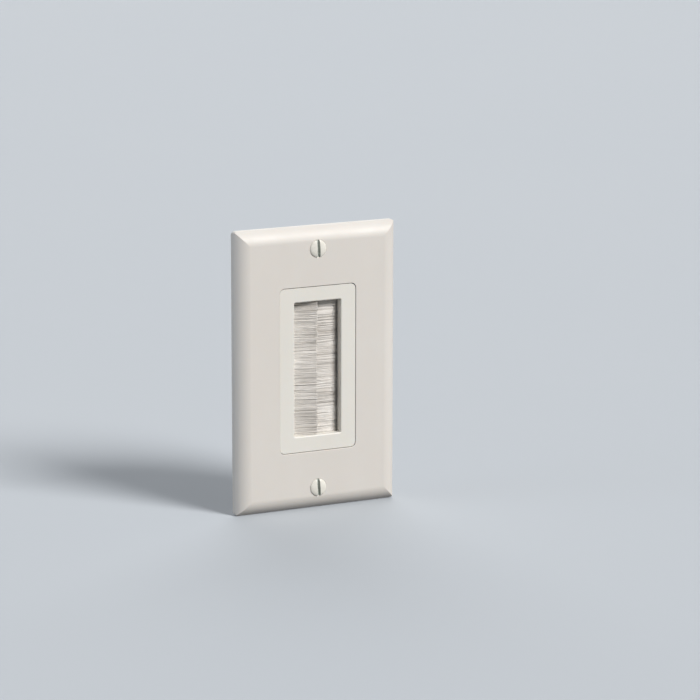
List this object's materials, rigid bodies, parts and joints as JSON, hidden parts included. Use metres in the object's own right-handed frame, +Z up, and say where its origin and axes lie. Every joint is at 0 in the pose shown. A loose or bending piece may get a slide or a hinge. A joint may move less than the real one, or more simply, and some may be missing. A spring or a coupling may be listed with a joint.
{
  "type": "brush wall plate",
  "caption": "Single-gang wall plate with a tall window closed by two strip brushes, for passing cables through a wall box, on a steel mounting strap.",
  "frame": {"origin": "centre of the plate, on the wall plane", "axes": "the front faces -Y, +Y goes into the wall box, +X is to the right seen from the front, +Z is up"},
  "size_m": [0.0698, 0.0307, 0.1142],
  "materials": {
    "plate_plastic": "satin moulded",
    "insert_plastic": "satin moulded",
    "screw_paint": "satin paint on steel",
    "strap_steel": "zinc plated, stamped",
    "clamp_plastic": "matt moulded",
    "clamp_screw_steel": "zinc plated",
    "channel_steel": "galvanised strip",
    "wire_steel": "drawn wire",
    "bristle_nylon": "translucent nylon filaments",
    "box_screw_steel": "zinc plated, threaded",
    "washer_fibre": "pressed fibre"
  },
  "bodies": {
    "root": {"wall_plate": "plate_plastic", "plate_screw_upper": "screw_paint", "plate_screw_lower": "screw_paint", "insert_frame": "insert_plastic", "mounting_strap": "strap_steel", "rear_clamp": "clamp_plastic", "clamp_screw_1": "clamp_screw_steel", "clamp_screw_2": "clamp_screw_steel", "clamp_screw_3": "clamp_screw_steel", "clamp_screw_4": "clamp_screw_steel", "brush_channel_left": "channel_steel", "brush_channel_right": "channel_steel", "brush_wire_left": "wire_steel", "brush_wire_right": "wire_steel", "bristles_left": "bristle_nylon", "bristles_right": "bristle_nylon", "box_screw_upper": "box_screw_steel", "box_screw_lower": "box_screw_steel", "screw_washer_upper": "washer_fibre", "screw_washer_lower": "washer_fibre"}
  },
  "joints": []
}
